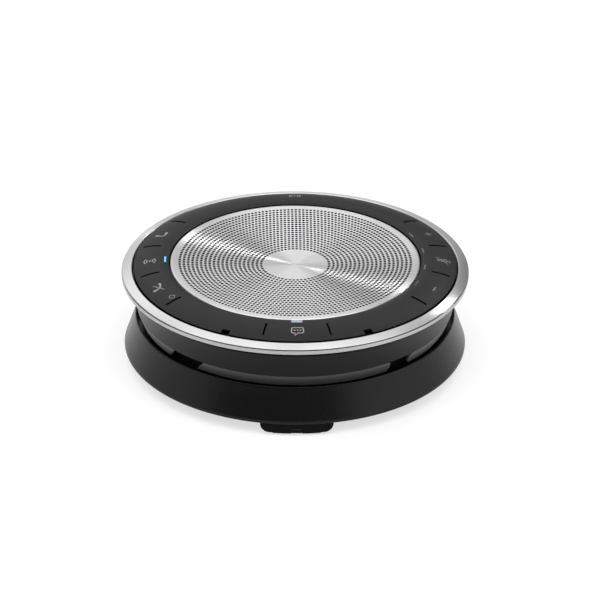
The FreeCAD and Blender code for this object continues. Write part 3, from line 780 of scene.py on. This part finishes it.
def suspension():
    """The half-roll surround at the cone's edge, and the corrugated spider round its voice coil."""
    lip_z = foot("speaker_surround")
    flange_z = lip_z + 0.3
    roll = [(20.4, lip_z), *bent((21.3, lip_z), (22.9, 31.65), (24.5, lip_z), 10), (24.5, lip_z), (25.65, lip_z),
            (25.65, flange_z), *bent((24.8, flange_z), (22.9, 32.0), (21.0, flange_z), 10), (21.0, flange_z),
            (20.4, flange_z)]
    flexing_ring("speaker_surround", roll, 21.3, 23.6)
    waves = [(10.35, 25.95), (11.4, 26.3), (12.45, 25.95), (13.5, 26.3), (14.55, 25.95), (15.6, 25.7),
             (17.3, 25.7)]
    waves += [(radius, height + SPIDER_T) for radius, height in reversed(waves)]
    flexing_ring("speaker_spider", waves, 11.0, 14.25)


# ---- dock block ---------------------------------------------------------------------------
DOCK_FOOT = foot("plug_dock")
DOCK_R = reach("plug_dock")
PADS = {"dock_pad_left": 265.1, "dock_pad_right": 274.9}
PAD_HALF = 3.0
PAD_STEPS = 8
MARK_HALF = 1.75
MARK_STEPS = 6


def bent_block(name, middle, half, steps, inner, outer, low, high, shade, slot):
    """A block that follows the device's round front, with eased edges."""
    angles = [middle + half * (2 * i / steps - 1) for i in range(steps + 1)]
    section = ((inner, low), (outer, low), (outer, high), (inner, high))
    verts = [at(radius, angle, height) for angle in angles for radius, height in section]
    faces = [(4 * j + i, 4 * j + (i + 1) % 4, 4 * j + 4 + (i + 1) % 4, 4 * j + 4 + i)
             for j in range(steps) for i in range(4)]
    last = 4 * steps
    faces = [face[::-1] for face in faces] + [(0, 1, 2, 3), (last + 3, last + 2, last + 1, last)]
    ease_edges(piece(name, verts, faces, MATERIALS[shade], "housing", slot), 0.1)


def dock_details():
    """Two low pads under the front block, and the raised line on its face."""
    for name, middle in PADS.items():
        bent_block(name, middle, PAD_HALF, PAD_STEPS, DOCK_R - 5.0, DOCK_R - 0.5, DOCK_FOOT - 0.45, DOCK_FOOT + 0.1,
                   "black_rubber", "black_rubber")
    bent_block("dock_mark", 270.0, MARK_HALF, MARK_STEPS, DOCK_R - 0.5, DOCK_R + 0.02, 2.35, 2.9, "mark_plastic",
               "grey_plastic")


# ---- camera, floor and lights -------------------------------------------------------------
def camera():
    """The viewing angle: 27 degrees above the table, slightly turned, with a long lens."""
    distance, elevation, roll, pan, pitch = 933.05, 27.147, 0.293, -0.119, 27.995
    turn = math.radians(-0.75)
    lens_px, width_px, sensor = 2700.0, 600.0, 36.0
    elev, tilt = math.radians(elevation), math.radians(pitch)
    place = mathutils.Vector((0.0, -math.cos(elev), math.sin(elev))) * distance
    forward = mathutils.Vector((0.0, math.cos(tilt), -math.sin(tilt)))
    upward = mathutils.Vector((0.0, math.sin(tilt), math.cos(tilt)))
    right = mathutils.Vector((1.0, 0.0, 0.0))
    swing = mathutils.Matrix.Rotation(math.radians(pan), 3, "Z")
    forward, upward, right = swing @ forward, swing @ upward, swing @ right
    lean = math.radians(roll)
    right, upward = (right * math.cos(lean) + upward * math.sin(lean),
                     upward * math.cos(lean) - right * math.sin(lean))
    basis = mathutils.Matrix((right, upward, -forward)).transposed()
    about = mathutils.Matrix.Rotation(turn, 3, "Z")
    data = bpy.data.cameras.new("camera")
    data.sensor_width = sensor
    data.lens = lens_px * sensor / width_px
    data.clip_start = 0.05
    view = bpy.data.objects.new("camera", data)
    bpy.context.scene.collection.objects.link(view)
    location = about @ place + mathutils.Vector((0.0, 0.0, GRILLE_Z))
    view.matrix_world = mathutils.Matrix.Translation(location * MM) @ (about @ basis).to_4x4()
    bpy.context.scene.camera = view


FLOOR_HALF = 1.5


def floor():
    """A plain, nearly white table top that glows a little, so that it stays pale in a dim room."""
    corners = [(-1, -1), (1, -1), (1, 1), (-1, 1)]
    mesh = bpy.data.meshes.new("floor")
    mesh.from_pydata([(FLOOR_HALF * x, FLOOR_HALF * y, 0.0) for x, y in corners], [], [(0, 1, 2, 3)])
    n = Nodes("pale_floor")
    n.join(n.blend(n.noise(n.coordinates(), 3.0), grey(0.37), grey(0.39)), n.shader.inputs["Base Color"])
    n.set(Roughness=0.9, Emission_Color=(1.0, 1.0, 1.0, 1.0), Emission_Strength=0.66)
    n.shader.inputs["Specular IOR Level"].default_value = 0.0
    mesh.materials.append(n.material)
    made = bpy.data.objects.new("floor", mesh)
    bpy.context.scene.collection.objects.link(made)


SOFT_BOXES = (                      # azimuth, elevation, full and faded half-angles, brightness
    (104.0, 56.0, 14.0, 44.0, 1.02),
    (114.0, 20.0, 8.0, 32.0, 0.56),
    (90.0, 4.0, 4.0, 24.0, 0.18),
    (335.0, 6.0, 12.0, 42.0, 1.4),
    (190.0, 10.0, 8.0, 34.0, 0.9),
    (60.0, 38.0, 1.0, 2.4, 88.0),
    (205.0, 55.0, 10.0, 32.0, 1.9),
    (325.0, 58.0, 10.0, 32.0, 1.9),
    (270.0, 64.0, 10.0, 30.0, 1.9))
ROOM = 0.05


def studio():
    """A dim room with soft boxes, all painted on the world behind the floor."""
    world = bpy.data.worlds.new("studio")
    world.use_nodes = True
    tree = world.node_tree
    background = tree.nodes["Background"]
    direction = tree.nodes.new("ShaderNodeTexCoord").outputs["Generated"]
    total = None
    for azimuth, elevation, inner, outer, brightness in SOFT_BOXES:
        turn, rise = math.radians(azimuth), math.radians(elevation)
        facing = tree.nodes.new("ShaderNodeVectorMath")
        facing.operation = "DOT_PRODUCT"
        tree.links.new(direction, facing.inputs[0])
        facing.inputs[1].default_value = (math.cos(turn) * math.cos(rise), math.sin(turn) * math.cos(rise),
                                          math.sin(rise))
        fade = tree.nodes.new("ShaderNodeMapRange")
        fade.interpolation_type = "SMOOTHSTEP"
        tree.links.new(facing.outputs["Value"], fade.inputs["Value"])
        fade.inputs["From Min"].default_value = math.cos(math.radians(outer))
        fade.inputs["From Max"].default_value = math.cos(math.radians(inner))
        fade.inputs["To Max"].default_value = brightness
        add = tree.nodes.new("ShaderNodeMath")
        add.operation = "ADD"
        tree.links.new(fade.outputs["Result"], add.inputs[0])
        if total is None:
            add.inputs[1].default_value = ROOM
        else:
            tree.links.new(total, add.inputs[1])
        total = add.outputs["Value"]
    background.inputs["Color"].default_value = (1.0, 1.0, 1.0, 1.0)
    tree.links.new(total, background.inputs["Strength"])
    bpy.context.scene.world = world
    bpy.context.scene.view_settings.view_transform = "Standard"


# ---- printed icons ------------------------------------------------------------------------
class Icon:
    """Flat shapes in an icon's own frame, in mm: u runs anticlockwise round the ring and v inwards."""

    def __init__(self):
        self.points = []
        self.faces = []

    def ribbon(self, line, widths, closed=False):
        """A stroke along a line, as wide at each point as its width says."""
        if not isinstance(widths, (list, tuple)):
            widths = [widths] * len(line)
        start, count = len(self.points), len(line)
        for i, ((u, v), width) in enumerate(zip(line, widths)):
            before = line[i - 1] if i or closed else line[i]
            after = line[(i + 1) % count] if i < count - 1 or closed else line[i]
            along = mathutils.Vector((after[0] - before[0], after[1] - before[1])).normalized()
            for side in (0.5, -0.5):
                self.points.append((u - along.y * side * width, v + along.x * side * width))
        for i in range(count if closed else count - 1):
            j = (i + 1) % count
            self.faces.append((start + 2 * i, start + 2 * i + 1, start + 2 * j + 1, start + 2 * j))
        return self

    def arc(self, u, v, radius, begin, end, width):
        """A stroke round part of a circle, or all of it."""
        closed = end - begin >= 360.0
        count = max(6, round((end - begin) / 15.0))
        turns = [math.radians(begin + (end - begin) * i / count) for i in range(count + (not closed))]
        line = [(u + radius * math.cos(t), v + radius * math.sin(t)) for t in turns]
        return self.ribbon(line, width, closed)

    def bar(self, start, end, width):
        """A straight stroke, with a middle point so that it follows the surface it is printed on."""
        middle = tuple((a + b) / 2 for a, b in zip(start, end))
        return self.ribbon([start, middle, end], width)

    def dot(self, u, v, radius):
        return self.arc(u, v, radius / 2, 0.0, 360.0, radius)

    def handset(self, u, v, length, rise):
        """A telephone handset that lies from upper left to lower right, its handle at the upper right."""
        half = [(-0.56, -0.34, 0.5), (-0.52, -0.2, 0.95), (-0.44, 0.12, 1.0), (-0.33, 0.5, 0.62),
                (-0.16, 0.88, 0.5)]
        profile = half + [(0.0, 1.0, 0.48)] + [(-a, b, width) for a, b, width in reversed(half)]
        slant = math.sqrt(0.5)
        line = [(u + slant * (length * a + rise * (b - 0.4)), v - slant * (length * a - rise * (b - 0.4)))
                for a, b, _ in profile]
        return self.ribbon(line, [width for _, _, width in profile])

    def print_on(self, name, angle, body):
        """Lays the icon on the key ring's surface at an angle, as a thin film of ink."""
        turn = math.radians(angle)
        out, round_ring = (math.cos(turn), math.sin(turn)), (-math.sin(turn), math.cos(turn))
        verts = []
        for u, v in self.points:
            x, y = [(ICON_R - v) * a + u * b for a, b in zip(out, round_ring)]
            verts.append((x, y, crown_z(math.hypot(x, y)) + 0.02))
        verts, faces = dropped(verts, self.faces, 0.04)
        return piece("icon_" + name, verts, faces, MATERIALS["icon_ink"], body, "pale_light")


def icons():
    """Handset, waves, handset struck out with a power ring, plus, minus, muted microphone, bubble, near link."""
    Icon().handset(1.7, 1.1, 3.7, 1.7).print_on("call", KEYS["call"], "key_call_body")
    waves = Icon().dot(1.2, 1.0, 0.42)
    for radius in (1.1, 2.0):
        waves.arc(1.2, 1.0, radius, 40.0, 140.0, 0.36).arc(1.2, 1.0, radius, 220.0, 320.0, 0.36)
    waves.print_on("wireless", KEYS["wireless"], "key_wireless_body")
    hang_up = Icon().handset(-0.2, 0.3, 4.5, 1.0).bar((-2.1, -0.8), (2.3, 1.6), 0.26)
    hang_up.arc(8.1, 1.9, 0.95, 0.0, 360.0, 0.2)
    hang_up.print_on("hang_up", KEYS["hang_up"], "key_hang_up_body")
    plus = Icon().bar((-2.4, 0.3), (-0.2, 0.3), 0.26).bar((-1.3, -1.0), (-1.3, 1.6), 0.26)
    plus.print_on("volume_up", KEYS["volume_up"], "key_volume_up_body")
    minus = Icon().bar((-2.1, -0.45), (0.6, -0.45), 0.3)
    minus.print_on("volume_down", KEYS["volume_down"], "key_volume_down_body")
    capsule = [(-1.5, 0.9), (-1.5, 1.5), (-1.3, 1.9), (-0.9, 2.05), (-0.5, 1.9), (-0.3, 1.5), (-0.3, 0.9),
               (-0.3, 0.1), (-0.5, -0.3), (-0.9, -0.45), (-1.3, -0.3), (-1.5, 0.1)]
    mute = Icon().ribbon(capsule, 0.26, True).arc(-0.9, 0.1, 1.3, 190.0, 350.0, 0.24)
    mute.ribbon([(-0.9, -1.2), (-0.9, -1.6), (-0.9, -2.1)], 0.26).bar((-1.7, -2.2), (-0.1, -2.2), 0.26)
    mute.bar((-3.0, -1.5), (1.2, 2.5), 0.26).print_on("mute", KEYS["mute"], "key_mute_body")
    bubble = [(-1.75, 0.2), (-1.75, 1.1), (-1.6, 1.5), (-1.2, 1.65), (0.2, 1.65), (1.6, 1.65), (2.0, 1.5),
              (2.15, 1.1), (2.15, 0.2), (2.15, -0.5), (2.0, -0.9), (1.6, -1.05), (0.4, -1.05), (-0.7, -2.1),
              (-0.7, -1.05), (-1.2, -1.05), (-1.6, -0.9), (-1.75, -0.5)]
    chat = Icon().ribbon(bubble, 0.38, True)
    for u in (-0.75, 0.2, 1.15):
        chat.dot(u, 0.3, 0.3)
    chat.print_on("app", KEYS["app"], "key_app_body")
    link = Icon().dot(-0.4, 0.9, 0.34)
    for radius in (1.1, 1.9):
        link.arc(-0.4, 0.9, radius, -42.0, 42.0, 0.36).arc(-0.4, 0.9, radius, 138.0, 222.0, 0.36)
    link.print_on("near_link", 90.0, "housing")


# ---- carried-over pieces ------------------------------------------------------------------
def paint_frame():
    """Gives every CAD node the material of its slot; the front block has a duller black than the rest."""
    for name, slot in SLOTS.items():
        node = frame["nodes"][name]
        node.data.materials.clear()
        node.data.materials.append(MATERIALS["dock_plastic" if name == "plug_dock" else slot])


paint_frame()
perforated_grille()
key_ring()
for key_name, key_angle in KEYS.items():
    key_cap(key_name, key_angle)
light_windows()
trim_ring()
bowl()
skirt()
strip_length("waist_strip_front", (231.5, 236.0, 0.0), (305.0, 305.3, 1.6), ["guard_strip_front"])
strip_length("waist_strip_rear", (313.6, 313.6, 1.6), (577.6, 581.8, 0.0), ["guard_strip_rear"])
suspension()
dock_details()
icons()
camera()
floor()
studio()
